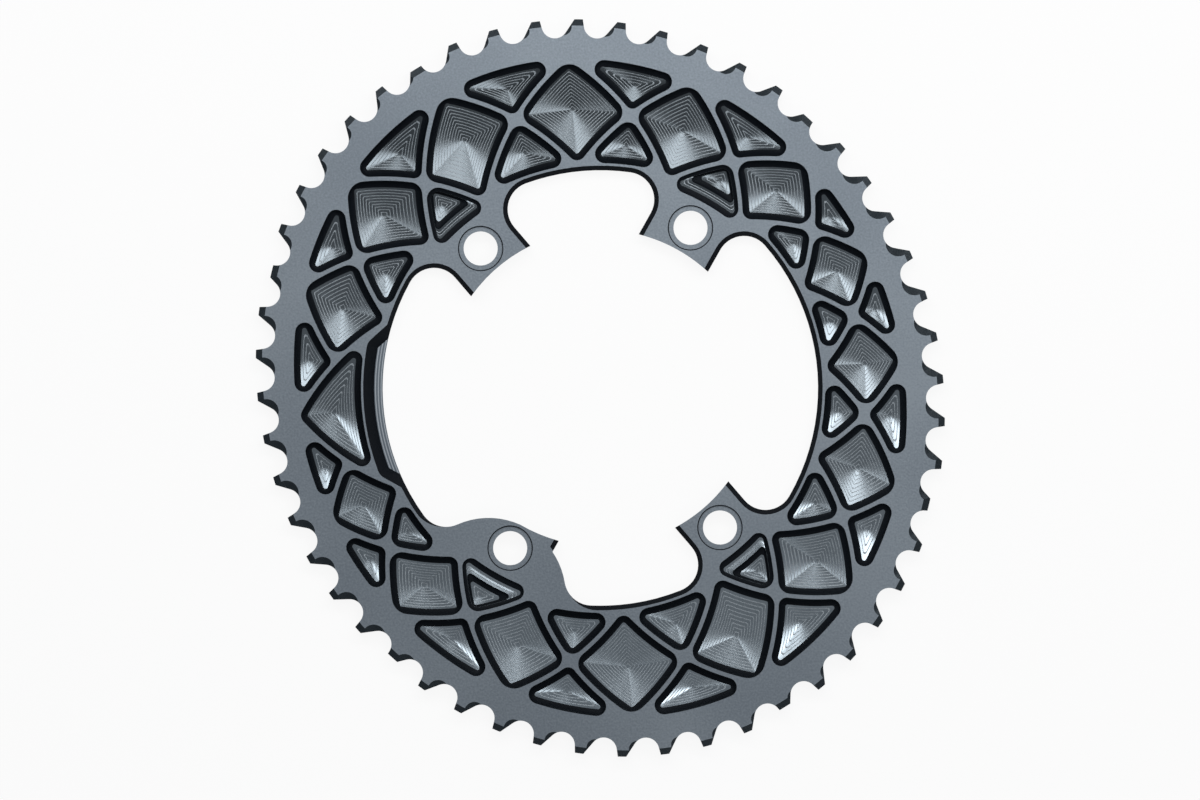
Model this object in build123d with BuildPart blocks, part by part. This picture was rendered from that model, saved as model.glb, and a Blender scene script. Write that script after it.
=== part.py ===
from build123d import *
from math import atan2, copysign, cos, degrees, pi, radians, sin, sqrt, tan
import os

# Oval outer chainring for a road crank, machined from one aluminium plate.
# It lies on its back: z = 0 is the back face and the front face looks up.
# The origin is the crank axis. +Y points between the two bolts that are closer
# together, and the crank arm lies along -X.

# Chain and teeth. The pitch line is the oval that the chain's rollers sit on.
tooth_count = 52
chain_pitch = 12.7
roller_diameter = 7.75
seat_clearance = 0.2
ovality = 1.1073
long_axis_angle = 108.07
tip_height = 1.55
drive_flank_angle = 12.0
trailing_flank_angle = 37.0
tooth_thickness = 2.3
front_bevel_run = 1.9
front_bevel_depth = 0.9
back_bevel_run = 1.3
back_bevel_depth = 0.5

# Shorter teeth that let the chain cross, counted from the tooth on the long axis
short_teeth = (1, 7, 17)
short_tooth_drop = 1.55

# Cone cut that thins the trailing flank of each tooth, on the front. It is wider
# where the ring is narrow.
scallop_radius_long = 2.35
scallop_radius_short = 3.8
scallop_inset = 0.7
scallop_shift = 2.6
scallop_slope = 30.0

# Plate
plate_thickness = 5.0
shoulder_top_inset = 5.4
shoulder_foot_inset = 8.0

# Crank mount
bolt_circle_diameter = 110.0
close_bolt_spacing = 70.0
bolt_hole_diameter = 10.2
counterbore_diameter = 13.0
counterbore_depth = 0.5
seat_step_diameter = 125.0
seat_step_depth = 1.0

# Central opening. Each tab has a half width on its clockwise and on its other side.
# The third tab is round on its clockwise side.
opening_radius = 65.15
pilot_radius = 47.4
tab_half_widths = ((11.0, 12.55), (11.8, 11.5), (0.0, 11.6), (10.25, 10.9))
tab_fillet = 8.2
opening_bevel_run = 1.4
opening_bevel_depth = 1.4
round_tab = 2
round_tab_radius = 23.1
round_tab_centre = (70.4, 1.26)
round_tab_land = 0.3

# Lattice of pockets. The web bounds it inside and the rim outside.
web_radius = 67.25
tab_web_radius = 63.45
rim_width_long = 6.35
rim_width_short = 5.75
rib_width = 1.2
rib_curve = 69.2
rib_head_rise = 0.4
pocket_depth = 2.4
pocket_wall_run = 1.85
shelf_depth = 1.0

# Corner radii of each kind of pocket, from its inmost corner outwards
corner_radii = {
    "diamond": (2.7, 3.8, 3.8, 5.0),
    "rim": (2.4, 2.85, 2.85),
    "web": (2.9, 2.9, 3.4),
    "shelf": (2.6, 2.6, 3.4),
    "crank": (2.7, 2.7, 2.7),
}

# Flats that each of those corners is cut in. There are so many corners that true
# arcs would make a heavy mesh.
corner_flats = {"diamond": 3, "rim": 2, "web": 2, "shelf": 2, "crank": 3}

# Rib feet and heads for half of the ring. The other half repeats them.
rib_foot_angles = (-0.2, 20.8, 44.2, 66.8, 90.2, 116.0, 134.0, 156.7)
rib_foot_radii = (66.4, 66.6, 65.15, 64.9, 66.0, 65.2, 65.25, 66.35)
rib_head_angles = (-0.2, 20.5, 41.8, 67.5, 90.0, 112.9, 135.4, 155.8)
shelf_stations = (2, 5)

# Recess that clears the crank arm, with its angles at the outer wall and the opening
recess_radius = 71.0
recess_wall_angles = (163.3, 196.0)
recess_mouth_angles = (155.8, 202.8)
recess_depth = 3.2
recess_wall_run = 3.3
recess_corner = 4.0
recess_land = 0.6

# Shift ramps in the back, beside the shorter teeth
ramp_length = 15.0
ramp_width = 5.0
ramp_inset = 8.5
ramp_depth = 0.9
ramp_tilt = 9.0

# Sizes that follow
front = Plane.XY.offset(plate_thickness)
seat_radius = (roller_diameter + seat_clearance) / 2
tooth_back = plate_thickness - tooth_thickness
bolt_circle_radius = bolt_circle_diameter / 2
arc_over_chord = 1 + (pi / tooth_count) ** 2 / 6
flatness = 1 / ovality
ellipse_factor = pi * (3 * (1 + flatness) - sqrt((3 + flatness) * (1 + 3 * flatness)))
pitch_long = tooth_count * chain_pitch * arc_over_chord / ellipse_factor
pitch_short = pitch_long * flatness
rim_long = pitch_long - seat_radius - rim_width_long
rim_short = pitch_short - seat_radius - rim_width_short
half_count = len(rib_foot_angles)
half_spacing = close_bolt_spacing / 2
bolt_angles = (90 - half_spacing, 90 + half_spacing, 270 - half_spacing, 270 + half_spacing)


def polar(radius, angle):
    return Vector(radius, 0).rotate(Axis.Z, angle)


def oval_radius(long_radius, short_radius, angle):
    """Distance from the centre to an oval that is turned like the ring."""
    offset_angle = radians(angle - long_axis_angle)
    return 1 / sqrt((cos(offset_angle) / long_radius) ** 2 + (sin(offset_angle) / short_radius) ** 2)


def oval_face(outset, height):
    """Oval that lies outside the pitch line by the outset, at one height."""
    with BuildSketch(Plane.XY.offset(height)) as oval:
        Ellipse(pitch_long + outset, pitch_short + outset, rotation=long_axis_angle)
    return oval.sketch


def tooth_plate(tip):
    """Plate with both edge bevels that the teeth are cut from."""
    levels = (
        oval_face(tip - back_bevel_run, tooth_back),
        oval_face(tip, tooth_back + back_bevel_depth),
        oval_face(tip, plate_thickness - front_bevel_depth),
        oval_face(tip - front_bevel_run, plate_thickness),
    )
    with BuildPart() as plate:
        loft(levels, ruled=True)
    return plate.part


def pitch_frame(position):
    """Point on the pitch line, counted in teeth, with x outwards and y along the line."""
    share = (position / tooth_count) % 1
    along = pitch_line.tangent_at(share)
    turn = degrees(atan2(along.Y, along.X)) - 90
    return Location(pitch_line.position_at(share), (0, 0, turn))


def station_angle(angles, station):
    return angles[station % half_count] + 180 * (station // half_count)


def rib_centre(foot, side):
    """Centre of the rib arc from one station's foot to the next station's head."""
    head = foot + side
    start = polar(rib_foot_radii[foot % half_count], station_angle(rib_foot_angles, foot))
    head_angle = station_angle(rib_head_angles, head)
    end = polar(oval_radius(rim_long, rim_short, head_angle) + rib_head_rise, head_angle)
    chord = end - start
    inward = chord.normalized().rotate(Axis.Z, 90 * side)
    return (start + end) * 0.5 + inward * sqrt(rib_curve**2 - (chord.length / 2) ** 2)


def rim_oval(inset, depth, turn):
    """Outer bound of the rim pockets at one depth."""
    with BuildSketch(front.offset(-depth)) as oval:
        Ellipse(rim_long - inset, rim_short - inset, rotation=turn)
    return oval.sketch


def frustum(radius, run, depth, mode=Mode.ADD):
    """Cone with that radius at the front face that narrows by the run down to the depth."""
    return Cone(radius - run, radius, depth, align=(Align.CENTER, Align.CENTER, Align.MIN), mode=mode)


def pocket_block(kind, station, depth):
    """Tool shape of the pocket that starts at a station, with sloping walls and sharp corners."""
    rising = rib_centre(station, 1)
    falling = rib_centre(station + 1, -1)
    middle = (station_angle(rib_foot_angles, station) + station_angle(rib_foot_angles, station + 1)) / 2
    around, beside, base, aim = [rising, falling], [], web_radius, polar(web_radius, middle)
    if kind == "rim":
        around, beside, base, aim = [], [rising, falling], 0, polar(rim_short, middle)
    elif kind == "diamond":
        around = [rib_centre(station - 1, 1), rib_centre(station + 1, -1)]
        beside = [rising, rib_centre(station, -1)]
        base, aim = 0, polar(rim_short, station_angle(rib_foot_angles, station))
    elif kind == "crank":
        around = [rising, rib_centre(station + 2, -1)]
        base = recess_radius + recess_land
        aim = polar(recess_radius, station_angle(rib_foot_angles, station + 1))
    elif kind == "shelf":
        base = tab_web_radius
    with BuildPart(front.offset(-depth)) as block:
        if around:
            with Locations(around[0]):
                frustum(rib_curve - rib_width / 2, pocket_wall_run, depth)
            with Locations(around[1]):
                frustum(rib_curve - rib_width / 2, pocket_wall_run, depth, Mode.INTERSECT)
        else:
            turn = long_axis_angle + 180 * (station < half_count)
            loft([rim_oval(pocket_wall_run, depth, turn), rim_oval(0, 0, turn)], ruled=True)
        for centre in beside:
            with Locations(centre):
                frustum(rib_curve + rib_width / 2, -pocket_wall_run, depth, Mode.SUBTRACT)
        if base:
            frustum(base, -pocket_wall_run, depth, Mode.SUBTRACT)
    return block.solids().sort_by_distance(aim + front.origin)[0]


def corner_planes(outline, radii, flats, depth):
    """Planes of the flats that round the corners of a pocket, looking into the pocket."""
    with BuildSketch() as rounded:
        add(front.to_local_coords(outline))
        for corner, radius in zip(rounded.vertices().sort_by_distance((0, 0)), radii):
            fillet(rounded.vertices().sort_by_distance(corner)[0], radius)
    for arc in rounded.edges().filter_by(GeomType.CIRCLE).filter_by(lambda edge: edge.radius < rib_curve / 2):
        points = [arc @ (step / flats) for step in range(flats + 1)]
        for start, end in zip(points, points[1:]):
            inward = (arc.arc_center - start).normalized() * pocket_wall_run
            normal = (end - start).cross(inward - Vector(0, 0, depth))
            yield Plane(start + front.origin, x_dir=end - start, z_dir=normal * copysign(1, normal.dot(inward)))


def pocket(kind, station):
    """Tool shape of one pocket with sloping walls and corners made of flats."""
    depth = shelf_depth if kind == "shelf" else pocket_depth
    with BuildPart() as tool:
        add(pocket_block(kind, station, depth))
        outline = tool.faces().sort_by(Axis.Z)[-1]
        for plane in corner_planes(outline, corner_radii[kind], corner_flats[kind], depth):
            split(bisect_by=plane, keep=Keep.TOP)
    return tool.part


# Teeth: the gaps between them, and the cutter for the shorter ones
pitch_line = oval_face(0, 0).edges()[0]
gap_top = tip_height + seat_radius
gap_frames = [pitch_frame(index + 0.5) for index in range(tooth_count)]
short_indices = [index + half for half in (0, tooth_count // 2) for index in short_teeth]

with BuildSketch() as gap:
    with BuildLine():
        steep_start = polar(seat_radius, 90 + drive_flank_angle)
        gentle_start = polar(seat_radius, -90 - trailing_flank_angle)
        ThreePointArc(gentle_start, polar(seat_radius, 180), steep_start)
        steep = PolarLine(
            steep_start, gap_top - steep_start.X, drive_flank_angle, length_mode=LengthMode.HORIZONTAL
        )
        gentle = PolarLine(
            gentle_start, gap_top - gentle_start.X, -trailing_flank_angle, length_mode=LengthMode.HORIZONTAL
        )
        Line(steep @ 1, gentle @ 1)
    make_face()

with BuildPart() as gap_cutter:
    with BuildSketch():
        with Locations(*gap_frames):
            add(gap.sketch)
    extrude(amount=plate_thickness)

with BuildPart() as scallops:
    for frame in gap_frames:
        spread = sin(radians(degrees(atan2(frame.position.Y, frame.position.X)) - long_axis_angle)) ** 2
        width = scallop_radius_long + (scallop_radius_short - scallop_radius_long) * spread
        with Locations(frame * Location((-scallop_inset, -scallop_shift, plate_thickness))):
            Cone(
                0,
                width,
                width * tan(radians(scallop_slope)),
                align=(Align.CENTER, Align.CENTER, Align.MAX),
            )

with BuildPart() as short_tooth_cutter:
    with BuildSketch(Plane.XY.offset(tooth_back)):
        for index in short_indices:
            sides = [pitch_frame(index + side) * Location((gap_top, 0, 0)) for side in (-0.5, 0.5)]
            Polygon((0, 0), *[(side.position.X, side.position.Y) for side in sides], align=None)
    extrude(amount=tooth_thickness)
    add(tooth_plate(tip_height - short_tooth_drop), mode=Mode.SUBTRACT)

with BuildPart() as ramps:
    for index in short_indices:
        with Locations(pitch_frame(index) * Location((-ramp_inset, 0, 0), (ramp_tilt, 0, 0))):
            Box(ramp_width, ramp_length, 2 * ramp_depth)

# Opening: what is left between the tabs, and the same with its front edge bevelled
with BuildSketch() as tab_strips:
    for angle, (clockwise, counter) in zip(bolt_angles, tab_half_widths):
        with Locations(Location((0, 0, 0), (0, 0, angle))):
            with Locations((opening_radius / 2, (counter - clockwise) / 2)):
                Rectangle(opening_radius, clockwise + counter)
round_tab_spot = Location((0, 0, 0), (0, 0, bolt_angles[round_tab])) * Location(round_tab_centre)


def opening_gaps(height, extra):
    """Gaps between the tabs, with the round tab larger by the extra radius."""
    with BuildSketch(Plane.XY.offset(height)) as gaps:
        Circle(opening_radius)
        add(tab_strips.sketch, mode=Mode.SUBTRACT)
        with Locations(round_tab_spot):
            Circle(round_tab_radius + extra, mode=Mode.SUBTRACT)
        fillet(gaps.vertices().sort_by_distance((0, 0))[-2 * len(bolt_angles) :], tab_fillet)
    return gaps.sketch


with BuildPart() as bevel_cutter:
    gaps_below = opening_gaps(plate_thickness - opening_bevel_depth, opening_bevel_run + round_tab_land)
    slope = degrees(atan2(opening_bevel_run, opening_bevel_depth))
    extrude(gaps_below, amount=opening_bevel_depth, taper=-slope)

with BuildPart() as chainring:
    loft([oval_face(-shoulder_foot_inset, 0), oval_face(-shoulder_top_inset, tooth_back)], ruled=True)
    add(tooth_plate(tip_height))

    # Opening and crank mount
    with BuildSketch():
        add(opening_gaps(0, 0))
        Circle(pilot_radius)
    extrude(amount=plate_thickness, mode=Mode.SUBTRACT)
    add(bevel_cutter.part, mode=Mode.SUBTRACT)
    Cylinder(
        seat_step_diameter / 2,
        seat_step_depth,
        align=(Align.CENTER, Align.CENTER, Align.MIN),
        mode=Mode.SUBTRACT,
    )
    with Locations([polar(bolt_circle_radius, angle) + Vector(0, 0, plate_thickness) for angle in bolt_angles]):
        CounterBoreHole(bolt_hole_diameter / 2, counterbore_diameter / 2, counterbore_depth)

    # Crank recess
    with BuildSketch(front):
        with BuildLine():
            walls = [polar(recess_radius, angle) for angle in recess_wall_angles]
            mouths = [polar(opening_radius, angle) for angle in recess_mouth_angles]
            reach = 1 + 2 * recess_wall_run / (recess_radius - opening_radius)
            ends = [wall + (mouth - wall) * reach for wall, mouth in zip(walls, mouths)]
            RadiusArc(walls[1], walls[0], recess_radius)
            Polyline(walls[1], ends[1], ends[0], walls[0])
        make_face()
        fillet(vertices().sort_by_distance((0, 0, 0))[-2:], recess_corner)
    extrude(amount=-recess_depth, taper=degrees(atan2(recess_wall_run, recess_depth)), mode=Mode.SUBTRACT)

    # Pockets
    tools = [pocket("rim", station) for station in range(2 * half_count)]
    tools += [pocket("diamond", station) for station in range(2 * half_count) if station != half_count]
    plain = [station for station in range(2 * half_count) if station not in (half_count - 1, half_count)]
    tools += [pocket("web", station) for station in plain]
    tools += [pocket("shelf", station + half) for station in shelf_stations for half in (0, half_count)]
    tools += [pocket("crank", half_count - 1)]
    add(tools, mode=Mode.SUBTRACT)

    # Teeth
    add([gap_cutter.part, short_tooth_cutter.part, scallops.part, ramps.part], mode=Mode.SUBTRACT)

chainring.part.label = "chainring"
os.makedirs("parts", exist_ok=True)
export_step(chainring.part, "parts/chainring.step")
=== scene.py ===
from math import atan2, cos, hypot, pi, radians, sin, sqrt, tan

import bmesh
import bpy
import numpy as np
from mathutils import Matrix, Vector
from mathutils.geometry import delaunay_2d_cdt


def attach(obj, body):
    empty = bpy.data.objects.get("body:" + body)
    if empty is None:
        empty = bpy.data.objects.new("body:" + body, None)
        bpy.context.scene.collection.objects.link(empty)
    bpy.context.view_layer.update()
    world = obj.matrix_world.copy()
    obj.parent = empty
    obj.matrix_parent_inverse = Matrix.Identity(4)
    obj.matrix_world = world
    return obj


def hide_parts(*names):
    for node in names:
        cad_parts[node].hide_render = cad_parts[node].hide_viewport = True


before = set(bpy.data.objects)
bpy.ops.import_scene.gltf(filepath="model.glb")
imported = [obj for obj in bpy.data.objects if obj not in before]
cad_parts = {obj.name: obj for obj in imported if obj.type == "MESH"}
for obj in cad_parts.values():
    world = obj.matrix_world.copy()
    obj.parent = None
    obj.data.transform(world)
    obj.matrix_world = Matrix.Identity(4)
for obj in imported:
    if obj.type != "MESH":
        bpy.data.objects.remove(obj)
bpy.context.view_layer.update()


# The ring's sizes, in millimetres and degrees, as in the source of the part
MM = 0.001
top = 5.0
tooth_count = 52
chain_pitch = 12.7
seat_radius = 3.975
long_axis = 108.07
flatness = 1 / 1.1073
oval_factor = pi * (3 * (1 + flatness) - sqrt((3 + flatness) * (1 + 3 * flatness)))
pitch_long = tooth_count * chain_pitch * (1 + (pi / tooth_count) ** 2 / 6) / oval_factor
rim_long = pitch_long - seat_radius - 6.35
rim_short = pitch_long * flatness - seat_radius - 5.75
web_radius = 67.25
shelf_base = 63.45
crank_base = 71.6
rib_width = 1.2
rib_curve = 69.2
foot_angles = (-0.2, 20.8, 44.2, 66.8, 90.2, 116.0, 134.0, 156.7)
foot_radii = (66.4, 66.6, 65.15, 64.9, 66.0, 65.2, 65.25, 66.35)
head_angles = (-0.2, 20.5, 41.8, 67.5, 90.0, 112.9, 135.4, 155.8)
head_rise = 0.4
shelf_stations = (2, 5, 10, 13)
pocket_depth = 2.4
wall_run = 1.85
shelf_depth = 1.0
crank_angles = (161, 197)
lattice_middle = 82

bolt_places = [(x, y) for x in (-31.545, 31.545) for y in (-45.055, 45.055)]
counterbore_radius = 6.5

# Looks of the pockets: broken edges, coved walls and dished floors with tool marks
edge_break = 0.1
# Width and steps of the flat line of painted shade round each counterbore
counterbore_shade_width = 0.3
counterbore_shade_steps = 64
floor_corner = 0.7
floor_slope = 7.5
groove_pitch = 0.8
groove_height = 0.05
groove_step = 0.2
wall_bend = 0.4
rim_corners = (2.4, 2.85, 2.85)
diamond_corners = (2.7, 3.8, 5.0, 3.8)
web_corners = (2.9, 3.4, 2.9)
crank_corners = (2.7, 2.7, 2.7)
shelf_corners = (2.6, 3.4, 2.6)
shelf_floor_insets = (1.2, 1.2, 1.85)
shelf_floor_corners = (0.8, 2.2, 0.8)
lip_insets = (1.25, 1.25, 0.3)
lip_corners = (1.0, 2.1, 1.0)
side_steps = 10
corner_steps = 8
wall_steps = 6
shelf_wall_steps = 4
ledge_pitch = 0.85
ledge_height = 1.8
tooth_zone = 1.02
flat_enough = 0.99
sharp_angle = 20
weld_distance = 1e-7
level_tolerance = 2e-6
ledge_tolerance = 0.1
FACE, WALL, FLOOR, LEDGE, RIDGE, BEVEL = range(6)

# Rings of the shelf from its wall to its lip: share of the way, whether it drops, slot
shelf_marks = (
    (0.3, False, FLOOR),
    (0.38, True, RIDGE),
    (0.62, False, FLOOR),
    (0.7, True, RIDGE),
    (1, False, FLOOR),
)

# Steps of the solvers that place the corners and the middles of the floors
corner_tries = 40
longest_step = 3
near_enough = 1e-9
oval_tries = 8
middle_tries = 400
middle_shrink = 0.985


def polar(radius, angle):
    """Point at a radius and an angle in degrees."""
    return np.array([radius * cos(radians(angle)), radius * sin(radians(angle))])


def spin(vector, angle):
    """Vector turned by an angle in degrees."""
    c, s = cos(radians(angle)), sin(radians(angle))
    return np.array([c * vector[0] - s * vector[1], s * vector[0] + c * vector[1]])


def station_angle(angles, station):
    return angles[station % 8] + 180 * (station // 8)


def foot(station):
    return polar(foot_radii[station % 8], station_angle(foot_angles, station))


def head(station):
    angle = station_angle(head_angles, station)
    offset = radians(angle - long_axis)
    reach = 1 / sqrt((cos(offset) / rim_long) ** 2 + (sin(offset) / rim_short) ** 2)
    return polar(reach + head_rise, angle)


def rib(station, side, sign):
    """One edge of a rib. The sign is 1 where the pocket lies inside the rib's arc."""
    start, end = foot(station), head(station + side)
    chord = end - start
    length = hypot(*chord)
    centre = (start + end) / 2 + spin(chord / length, 90 * side) * sqrt(rib_curve**2 - (length / 2) ** 2)
    return centre, rib_curve - sign * rib_width / 2, sign


def base(radius):
    return np.zeros(2), radius, -1


OVAL = (None, 0, 1)


def oval_parameter(point):
    """Parameter of the oval's point that is nearest."""
    x, y = spin(point, -long_axis)
    t = atan2(y / rim_short, x / rim_long)
    for _ in range(oval_tries):
        dx, dy = rim_long * cos(t) - x, rim_short * sin(t) - y
        slope = -rim_long * sin(t) * dx + rim_short * cos(t) * dy
        bend = (rim_long * sin(t)) ** 2 - rim_long * cos(t) * dx
        bend = bend + (rim_short * cos(t)) ** 2 - rim_short * sin(t) * dy
        t -= slope / bend
    return t


def oval_point(t):
    """Point of the oval and its normal towards the centre."""
    normal = np.array([rim_short * cos(t), rim_long * sin(t)])
    point = np.array([rim_long * cos(t), rim_short * sin(t)])
    return spin(point, long_axis), -spin(normal / hypot(*normal), long_axis)


def gauge(side, point):
    """How far inside a side a point lies, and the direction away from that side."""
    centre, radius, sign = side
    if centre is None:
        near, normal = oval_point(oval_parameter(point))
        return float(np.dot(point - near, normal)), normal
    arm = point - centre
    reach = hypot(*arm)
    return sign * (radius - reach), -sign * arm / reach


def meet(first, second, guess, insets, radius):
    """Point that lies the same radius inside both inset sides."""
    point = np.array(guess, float)
    for _ in range(corner_tries):
        d1, n1 = gauge(first, point)
        d2, n2 = gauge(second, point)
        step = np.linalg.solve(np.array([n1, n2]), [radius + insets[0] - d1, radius + insets[1] - d2])
        size = hypot(*step)
        point += step * min(1, longest_step / max(size, near_enough))
        if size < near_enough:
            break
    return point, point - n1 * radius, point - n2 * radius


def arc(centre, start, end, steps):
    """Points of an arc from its start, without its end."""
    first = atan2(*(start - centre)[::-1])
    turn = (atan2(*(end - centre)[::-1]) - first + pi) % (2 * pi) - pi
    radius = hypot(*(start - centre))
    angles = [first + turn * step / steps for step in range(steps)]
    return [centre + radius * np.array([cos(a), sin(a)]) for a in angles]


def outline(cell, insets, radii):
    """Closed line round a cell, with round corners, anticlockwise."""
    corners, sides = cell
    count = len(sides)
    met = [
        meet(sides[k - 1], sides[k], corners[k], (insets[k - 1], insets[k]), radii[k]) for k in range(count)
    ]
    line = []
    for k, (centre, arrive, leave) in enumerate(met):
        line += arc(centre, arrive, leave, corner_steps)
        target = met[(k + 1) % count][1]
        if sides[k][0] is None:
            t0, t1 = oval_parameter(leave), oval_parameter(target)
            turn = (t1 - t0 + pi) % (2 * pi) - pi
            for step in range(side_steps):
                point, normal = oval_point(t0 + turn * step / side_steps)
                line.append(point + normal * insets[k])
        else:
            line += arc(sides[k][0], leave, target, side_steps)
    return np.array(line)


def crossing(station):
    """Where the ribs cross between a station and the next one."""
    middle = (station_angle(foot_angles, station) + station_angle(foot_angles, station + 1)) / 2
    lines = [(rib(station, 1, 1)[0], rib_curve, 1), (rib(station + 1, -1, 1)[0], rib_curve, 1)]
    return meet(*lines, polar(lattice_middle, middle), (0, 0), 0)[0]


def web_cell(i, radius):
    return (foot(i), crossing(i), foot(i + 1)), (rib(i, 1, 1), rib(i + 1, -1, 1), base(radius))


def rim_cell(i):
    return (crossing(i), head(i), head(i + 1)), (rib(i + 1, -1, -1), OVAL, rib(i, 1, -1))


def diamond_cell(i):
    corners = (foot(i), crossing(i - 1), head(i), crossing(i))
    return corners, (rib(i, -1, -1), rib(i - 1, 1, 1), rib(i + 1, -1, 1), rib(i, 1, -1))


def crank_cell():
    corners = (polar(crank_base, crank_angles[0]), head(8), polar(crank_base, crank_angles[1]))
    return corners, (rib(7, 1, 1), rib(9, -1, 1), base(crank_base))


def lift(line, height):
    """Line of flat points at a height, or at a height for each point."""
    return np.column_stack([line, np.full(len(line), height)])


def cove(upper, lower, steps):
    """Rings of a hollow wall between two rings, without the first."""
    rings = []
    whole = pi / 2 * wall_bend
    for step in range(1, steps + 1):
        phase = whole * step / steps
        ring = upper.copy()
        ring[:, :2] += (lower[:, :2] - upper[:, :2]) * (1 - cos(phase)) / (1 - cos(whole))
        ring[:, 2] += (lower[:, 2] - upper[:, 2]) * sin(phase) / sin(whole)
        rings.append((ring, WALL))
    return rings


def dish(lower):
    """Middle of a floor, its distance from the sides, and the floor's edge with its corners raised."""
    line = lower[:, :2]
    middle = line.mean(axis=0)
    step = 1.0
    for _ in range(middle_tries):
        gaps = line - middle
        distances = np.hypot(gaps[:, 0], gaps[:, 1])
        near = distances.argmin()
        middle = middle - gaps[near] / distances[near] * step
        step *= middle_shrink
    distances = np.hypot(*(line - middle).T)
    reach = distances.min()
    return middle, reach, lift(line, lower[:, 2] + (distances - reach) * tan(radians(floor_slope)))


def floor_rings(rim, middle, reach):
    """Rings of a dished floor with a step between the passes of the cutter."""
    line = rim[:, :2]
    fall = rim[:, 2] - rim[:, 2].min() + reach * tan(radians(floor_slope))
    passes = max(2, round(reach / groove_pitch))
    rings = []

    def ring(share, drop):
        shrunk = middle + (line - middle) * share
        return np.column_stack([shrunk, rim[:, 2] - fall * (1 - share) - drop])

    for k in range(passes):
        share = 1 - k / passes
        if k:
            rings.append((ring(share, 0), FLOOR))
        rings.append((ring(share - groove_step / reach, groove_height), RIDGE if k else WALL))
    return rings, np.array([*middle, (rim[:, 2] - fall).min()])


def broken(upper, lower):
    """Ring just inside the upper one, where its sharp edge is broken."""
    share = edge_break / wall_run
    ring = upper.copy()
    ring[:, :2] += (lower[:, :2] - upper[:, :2]) * share
    ring[:, 2] -= edge_break
    return ring


def pocket_rings(cell, radii):
    """Rings of a pocket from the front face to the middle of its floor."""
    sides = len(radii)
    upper = lift(outline(cell, [0] * sides, radii), top)
    lower = lift(outline(cell, [wall_run] * sides, [floor_corner] * sides), top - pocket_depth)
    middle, reach, lower = dish(lower)
    edge = broken(upper, lower)
    marks, tip = floor_rings(lower, middle, reach)
    return [(upper, WALL), (edge, WALL)] + cove(edge, lower, wall_steps) + marks, tip


def shelf_rings(station):
    """Rings of a pocket with a shallow shelf along its inner side."""
    outer, inner = web_cell(station, shelf_base), web_cell(station, web_radius)
    upper = lift(outline(outer, [0, 0, 0], shelf_corners), top)
    shelf = lift(outline(outer, shelf_floor_insets, shelf_floor_corners), top - shelf_depth)
    lip = lift(outline(inner, lip_insets, lip_corners), top - shelf_depth)
    lower = lift(outline(inner, [wall_run] * 3, [floor_corner] * 3), top - pocket_depth)
    middle, reach, lower = dish(lower)
    edge = broken(upper, shelf)
    rings = [(upper, WALL), (edge, WALL)] + cove(edge, shelf, shelf_wall_steps)
    for share, drops, slot in shelf_marks:
        ring = shelf + (lip - shelf) * share
        ring[:, 2] -= groove_height * drops
        rings.append((ring, slot))
    marks, tip = floor_rings(lower, middle, reach)
    return rings + cove(lip, lower, wall_steps) + marks, tip


cells = [pocket_rings(rim_cell(i), rim_corners) for i in range(16)]
cells += [pocket_rings(diamond_cell(i), diamond_corners) for i in range(16) if i != 8]
for i in range(16):
    if i in shelf_stations:
        cells.append(shelf_rings(i))
    elif i not in (7, 8):
        cells.append(pocket_rings(web_cell(i, web_radius), web_corners))
cells.append(pocket_rings(crank_cell(), crank_corners))

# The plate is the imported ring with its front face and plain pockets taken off
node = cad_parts["chainring"]
bm = bmesh.new()
bm.from_mesh(node.data)
bmesh.ops.remove_doubles(bm, verts=bm.verts, dist=weld_distance)
level = top * MM
front_faces = [f for f in bm.faces if all(abs(v.co.z - level) < level_tolerance for v in f.verts)]
bmesh.ops.delete(bm, geom=front_faces, context="FACES")
islands = []
seen = set()
for start in bm.faces:
    if start in seen:
        continue
    island, stack = [], [start]
    seen.add(start)
    while stack:
        face = stack.pop()
        island.append(face)
        for edge in face.edges:
            for other in edge.link_faces:
                if other not in seen:
                    seen.add(other)
                    stack.append(other)
    islands.append(island)
islands.sort(key=len)
plain_pockets = [face for island in islands[:-1] for face in island]
bmesh.ops.delete(bm, geom=plain_pockets, context="FACES")

for face in bm.faces:
    face.smooth = True
    middle = face.calc_center_median()
    lift_up = face.normal.z
    face.material_index = WALL
    if abs(lift_up) > flat_enough:
        face.material_index = FACE
        if abs(middle.z / MM - ledge_height) < ledge_tolerance:
            face.material_index = LEDGE
    elif lift_up < -0.05 or middle.z < 0.001:
        face.material_index = FACE
    else:
        x, y = spin((middle.x / MM, middle.y / MM), -long_axis)
        if hypot(x / rim_long, y / rim_short) > tooth_zone:
            face.material_index = BEVEL

points = []
links = []
corners = []
number = {}
for edge in [e for e in bm.edges if len(e.link_faces) == 1]:
    for vert in edge.verts:
        if vert not in number:
            number[vert] = len(corners)
            corners.append(vert)
            points.append((vert.co.x / MM, vert.co.y / MM))
    links.append((number[edge.verts[0]], number[edge.verts[1]]))


def new_ring(ring):
    """Mesh points of one ring."""
    return [bm.verts.new(Vector(point) * MM) for point in ring]


def strip(outer, inner, slot):
    """Faces between two rings."""
    count = len(outer)
    for k in range(count):
        after = (k + 1) % count
        face = bm.faces.new((outer[k], outer[after], inner[after], inner[k]))
        face.material_index = slot
        face.smooth = True


for rings, apex in cells:
    last = new_ring(rings[0][0])
    first = len(corners)
    corners += last
    points += [tuple(point[:2]) for point in rings[0][0]]
    links += [(first + k, first + (k + 1) % len(last)) for k in range(len(last))]
    for ring, slot in rings[1:]:
        loop = new_ring(ring)
        strip(last, loop, slot)
        last = loop
    tip = bm.verts.new(Vector(apex) * MM)
    for k in range(len(last)):
        face = bm.faces.new((last[k], last[(k + 1) % len(last)], tip))
        face.material_index = FLOOR
        face.smooth = True
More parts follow.
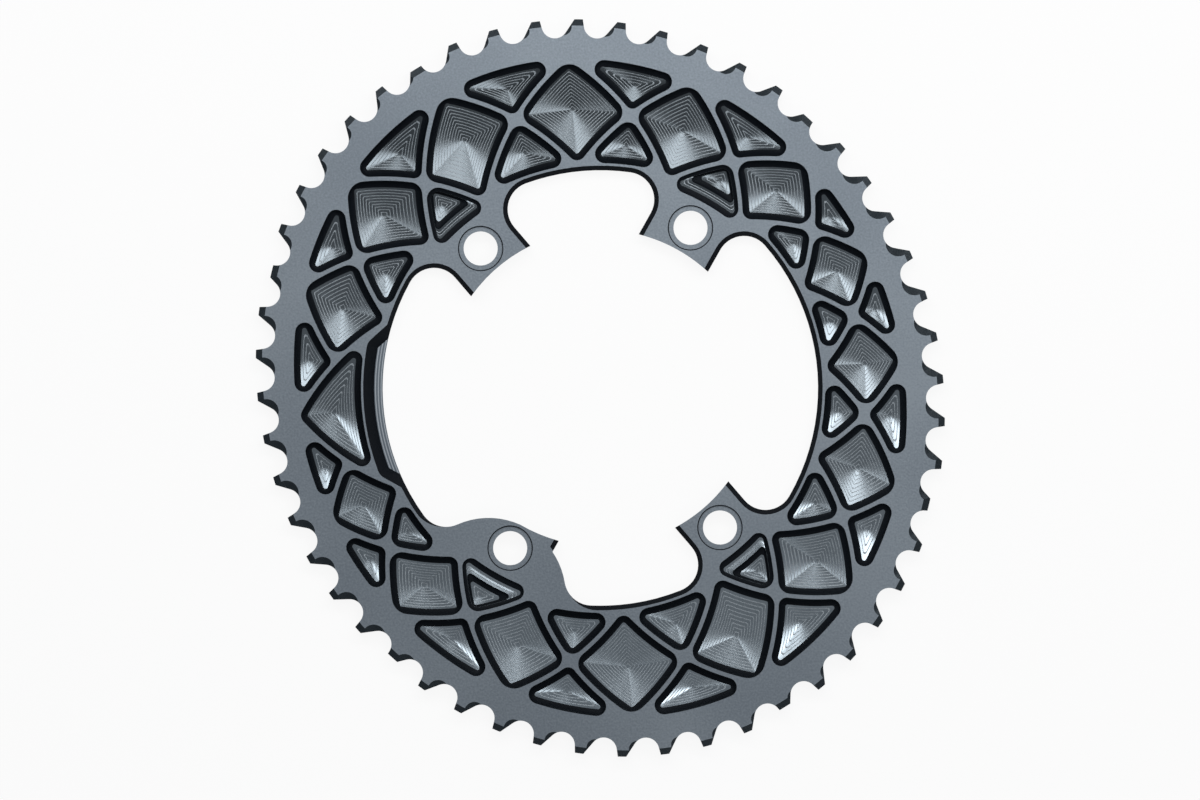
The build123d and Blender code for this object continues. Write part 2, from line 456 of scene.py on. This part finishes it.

# A thin line of painted shade, in the dark wall colour, runs flat round each counterbore on the front face,
# for the shade at its edge
shade_ring_links = []
for x, y in bolt_places:
    first = len(corners)
    for step in range(counterbore_shade_steps):
        px, py = np.array((x, y)) + polar(counterbore_radius + counterbore_shade_width, 360 * step / counterbore_shade_steps)
        points.append((px, py))
        corners.append(bm.verts.new((px * MM, py * MM, level)))
        shade_ring_links.append((first + step, first + (step + 1) % counterbore_shade_steps))

# The front face is filled again between all of those outlines
result = delaunay_2d_cdt([Vector(p) for p in points], links + shade_ring_links, [], 0, 1e-6, True)
flat_points = np.array([tuple(p) for p in result[0]])
triangles = np.array([tuple(f) for f in result[2]])
centres = flat_points[triangles].mean(axis=1)
ends = np.array(points)[np.array(links)]
x0, y0, x1, y1 = ends[:, 0, 0], ends[:, 0, 1], ends[:, 1, 0], ends[:, 1, 1]
for triangle, (cx, cy) in zip(triangles, centres):
    spans = (y0 > cy) != (y1 > cy)
    crossed = x0[spans] + (cy - y0[spans]) / (y1[spans] - y0[spans]) * (x1[spans] - x0[spans]) > cx
    if crossed.sum() % 2:
        verts = [corners[result[3][k][0]] for k in triangle]
        if len(set(verts)) == 3:
            face = bm.faces.new(verts)
            # Faces inside the shade line get the dark wall colour: painted shade
            in_counterbore_shade = any(hypot(cx - x, cy - y) < counterbore_radius + counterbore_shade_width for x, y in bolt_places)
            face.material_index = WALL if in_counterbore_shade else FACE

bmesh.ops.delete(bm, geom=[v for v in bm.verts if not v.link_faces], context="VERTS")
bm.normal_update()
for edge in bm.edges:
    faces = edge.link_faces
    if len(faces) == 2:
        bend = edge.calc_face_angle(0)
        edge.smooth = bend < radians(sharp_angle) and faces[0].material_index == faces[1].material_index

mesh = bpy.data.meshes.new("ring")
bm.to_mesh(mesh)
bm.free()
ring = bpy.data.objects.new("ring", mesh)
bpy.context.scene.collection.objects.link(ring)


def new_material(name, color, metallic, roughness):
    material = bpy.data.materials.new(name)
    material.use_nodes = True
    shader = material.node_tree.nodes["Principled BSDF"]
    shader.inputs["Base Color"].default_value = (*color, 1)
    shader.inputs["Metallic"].default_value = metallic
    shader.inputs["Roughness"].default_value = roughness
    return material, material.node_tree, shader


def grain(tree, shader, dark, light, scale, bump, rough):
    """Fine grain in colour, roughness and height."""
    nodes, wires = tree.nodes, tree.links
    place = nodes.new("ShaderNodeTexCoord")
    fine = nodes.new("ShaderNodeTexNoise")
    fine.inputs["Scale"].default_value = scale
    fine.inputs["Detail"].default_value = 3
    wires.new(place.outputs["Object"], fine.inputs["Vector"])
    cloud = nodes.new("ShaderNodeTexNoise")
    cloud.inputs["Scale"].default_value = 18
    cloud.inputs["Detail"].default_value = 2
    wires.new(place.outputs["Object"], cloud.inputs["Vector"])
    both = nodes.new("ShaderNodeMath")
    both.operation = "ADD"
    wires.new(fine.outputs["Fac"], both.inputs[0])
    wires.new(cloud.outputs["Fac"], both.inputs[1])
    ramp = nodes.new("ShaderNodeValToRGB")
    ramp.color_ramp.elements[0].position = 0.38
    ramp.color_ramp.elements[0].color = (*dark, 1)
    ramp.color_ramp.elements[1].position = 0.62
    ramp.color_ramp.elements[1].color = (*light, 1)
    half = nodes.new("ShaderNodeMapRange")
    half.inputs["From Max"].default_value = 2
    half.inputs["To Max"].default_value = 1
    wires.new(both.outputs[0], half.inputs["Value"])
    wires.new(half.outputs["Result"], ramp.inputs["Fac"])
    wires.new(ramp.outputs["Color"], shader.inputs["Base Color"])
    spread = nodes.new("ShaderNodeMapRange")
    spread.inputs["To Min"].default_value = rough[0]
    spread.inputs["To Max"].default_value = rough[1]
    wires.new(fine.outputs["Fac"], spread.inputs["Value"])
    wires.new(spread.outputs["Result"], shader.inputs["Roughness"])
    relief = nodes.new("ShaderNodeBump")
    relief.inputs["Strength"].default_value = bump
    relief.inputs["Distance"].default_value = 0.00005
    wires.new(fine.outputs["Fac"], relief.inputs["Height"])
    wires.new(relief.outputs["Normal"], shader.inputs["Normal"])


def painted_light_below(tree, shader, below, above):
    """Scales a colour along Y between two shares: painted light, lighter at low Y and darker at high Y."""
    nodes, wires = tree.nodes, tree.links
    colour = shader.inputs["Base Color"].links[0].from_socket
    place = nodes.new("ShaderNodeTexCoord")
    parts = nodes.new("ShaderNodeSeparateXYZ")
    wires.new(place.outputs["Object"], parts.inputs[0])
    share = nodes.new("ShaderNodeMapRange")
    share.inputs["From Min"].default_value = -0.1
    share.inputs["From Max"].default_value = 0.1
    share.inputs["To Min"].default_value = below
    share.inputs["To Max"].default_value = above
    wires.new(parts.outputs["Y"], share.inputs["Value"])
    scaled = nodes.new("ShaderNodeVectorMath")
    scaled.operation = "SCALE"
    wires.new(colour, scaled.inputs[0])
    wires.new(share.outputs["Result"], scaled.inputs["Scale"])
    wires.new(scaled.outputs["Vector"], shader.inputs["Base Color"])


def ring_marks(tree, shader, dark, light):
    """Light lines round the crank axis, where the tool has passed."""
    nodes, wires = tree.nodes, tree.links
    place = nodes.new("ShaderNodeTexCoord")
    reach = nodes.new("ShaderNodeVectorMath")
    reach.operation = "LENGTH"
    wires.new(place.outputs["Object"], reach.inputs[0])
    turn = nodes.new("ShaderNodeMath")
    turn.operation = "MODULO"
    turn.inputs[1].default_value = ledge_pitch * MM
    wires.new(reach.outputs["Value"], turn.inputs[0])
    share = nodes.new("ShaderNodeMapRange")
    share.inputs["From Max"].default_value = ledge_pitch * MM
    wires.new(turn.outputs[0], share.inputs["Value"])
    ramp = nodes.new("ShaderNodeValToRGB")
    ramp.color_ramp.elements[0].position = 0.3
    ramp.color_ramp.elements[0].color = (*light, 1)
    ramp.color_ramp.elements[1].position = 0.42
    ramp.color_ramp.elements[1].color = (*dark, 1)
    wires.new(share.outputs["Result"], ramp.inputs["Fac"])
    wires.new(ramp.outputs["Color"], shader.inputs["Base Color"])


satin, tree, shader = new_material("anodised_satin", (0.2, 0.23, 0.26), 0.9, 0.4)
grain(tree, shader, (0.192, 0.224, 0.258), (0.258, 0.296, 0.333), 1600, 0.3, (0.34, 0.38))
# Walls get a near-black copy of the anodised colour with weak specular: painted shade where steep faces turn
# from the light. The counterbore lines use it too.
painted_wall_shade, tree, shader = new_material("anodised_painted_wall_shade", (0.003, 0.0045, 0.007), 0.2, 0.6)
grain(tree, shader, (0.002, 0.0035, 0.006), (0.005, 0.0075, 0.011), 3000, 0.05, (0.55, 0.65))
shader.inputs["Specular IOR Level"].default_value = 0.12
milled_painted_light, tree, shader = new_material("milled_floor_painted_light", (0.15, 0.18, 0.2), 1.0, 0.15)
grain(tree, shader, (0.18, 0.21, 0.232), (0.205, 0.235, 0.258), 900, 0.0, (0.17, 0.2))
# The floors' colour is painted light: 2.5 times lighter at low Y and 0.62 times at high Y, for the sheen of
# light on the lower floors
painted_light_below(tree, shader, 2.5, 0.62)
ledge, tree, shader = new_material("milled_ledge", (0.15, 0.18, 0.21), 0.9, 0.35)
grain(tree, shader, (0.12, 0.145, 0.17), (0.15, 0.18, 0.21), 3000, 0.05, (0.3, 0.38))
ring_marks(tree, shader, (0.15, 0.18, 0.21), (0.42, 0.46, 0.5))
ridge, tree, shader = new_material("tool_mark", (0.3, 0.34, 0.37), 0.3, 0.55)
grain(tree, shader, (0.26, 0.3, 0.33), (0.31, 0.35, 0.38), 900, 0.0, (0.5, 0.6))
# The tooth bevels get a much darker copy of the anodised colour: painted shade for bevels that face away from
# the light.
painted_bevel_shade, tree, shader = new_material("anodised_painted_bevel_shade", (0.02, 0.028, 0.035), 0.5, 0.4)
grain(tree, shader, (0.018, 0.026, 0.033), (0.028, 0.038, 0.046), 3000, 0.05, (0.36, 0.44))
for material in (satin, painted_wall_shade, milled_painted_light, ledge, ridge, painted_bevel_shade):
    ring.data.materials.append(material)

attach(ring, "root")
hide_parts("chainring")

# The photograph looks straight down on the front face, with the ring a little turned
view_turn = radians(-5.62)
view_centre = (-0.449 * MM, -3.570 * MM)
view_width = 0.3591
camera_data = bpy.data.cameras.new("camera")
camera_data.type = "ORTHO"
camera_data.ortho_scale = view_width
camera = bpy.data.objects.new("camera", camera_data)
camera.location = (*view_centre, 1.0)
camera.rotation_euler = (0, 0, view_turn)
bpy.context.scene.collection.objects.link(camera)
bpy.context.scene.camera = camera


def soft_box(name, east, north, height, size, power):
    """Area lamp that looks at the ring, placed along the picture's right and up."""
    lamp = bpy.data.lights.new(name, "AREA")
    lamp.shape = "RECTANGLE"
    lamp.size, lamp.size_y = size
    lamp.energy = power
    lamp_object = bpy.data.objects.new(name, lamp)
    c, s = cos(view_turn), sin(view_turn)
    place = Vector((c * east - s * north, s * east + c * north, height))
    lamp_object.location = place
    lamp_object.visible_camera = False
    lamp_object.rotation_euler = place.to_track_quat("Z", "Y").to_euler()
    bpy.context.scene.collection.objects.link(lamp_object)


soft_box("high_back", 0.1, 0.36, 1.4, (1.5, 0.3), 4.4)
soft_box("near_back", 0.05, 0.29, 0.4, (0.9, 0.16), 1.7)
soft_box("low_front", 0.15, -0.6, 0.9, (0.8, 0.3), 1.2)

world = bpy.data.worlds.new("world")
world.use_nodes = True
world.node_tree.nodes["Background"].inputs["Color"].default_value = (0.92, 0.95, 1.0, 1)
world.node_tree.nodes["Background"].inputs["Strength"].default_value = 0.2
bpy.context.scene.world = world

# The floor looks white to the camera and in the metal, and keeps a faint shadow
floor_mesh = bpy.data.meshes.new("floor")
half = 3.0
floor_corners = [(-half, -half, 0), (half, -half, 0), (half, half, 0), (-half, half, 0)]
floor_mesh.from_pydata(floor_corners, [], [(0, 1, 2, 3)])
floor = bpy.data.objects.new("floor", floor_mesh)
bpy.context.scene.collection.objects.link(floor)
paper, tree, shader = new_material("paper", (0.9, 0.9, 0.9), 0, 0.8)
nodes, wires = tree.nodes, tree.links
path = nodes.new("ShaderNodeLightPath")
seen_by = nodes.new("ShaderNodeMath")
seen_by.operation = "MAXIMUM"
wires.new(path.outputs["Is Camera Ray"], seen_by.inputs[0])
wires.new(path.outputs["Is Glossy Ray"], seen_by.inputs[1])
also = nodes.new("ShaderNodeMath")
also.operation = "MAXIMUM"
wires.new(seen_by.outputs[0], also.inputs[0])
wires.new(path.outputs["Is Transmission Ray"], also.inputs[1])
share = nodes.new("ShaderNodeMath")
share.operation = "MULTIPLY"
share.inputs[1].default_value = 0.9
wires.new(also.outputs[0], share.inputs[0])
glow = nodes.new("ShaderNodeEmission")
glow.inputs["Color"].default_value = (1, 1, 1, 1)
glow.inputs["Strength"].default_value = 1.0
mix = nodes.new("ShaderNodeMixShader")
wires.new(share.outputs[0], mix.inputs["Fac"])
wires.new(shader.outputs["BSDF"], mix.inputs[1])
wires.new(glow.outputs["Emission"], mix.inputs[2])
wires.new(mix.outputs["Shader"], nodes["Material Output"].inputs["Surface"])
floor.data.materials.append(paper)

bpy.context.scene.view_settings.view_transform = "Standard"
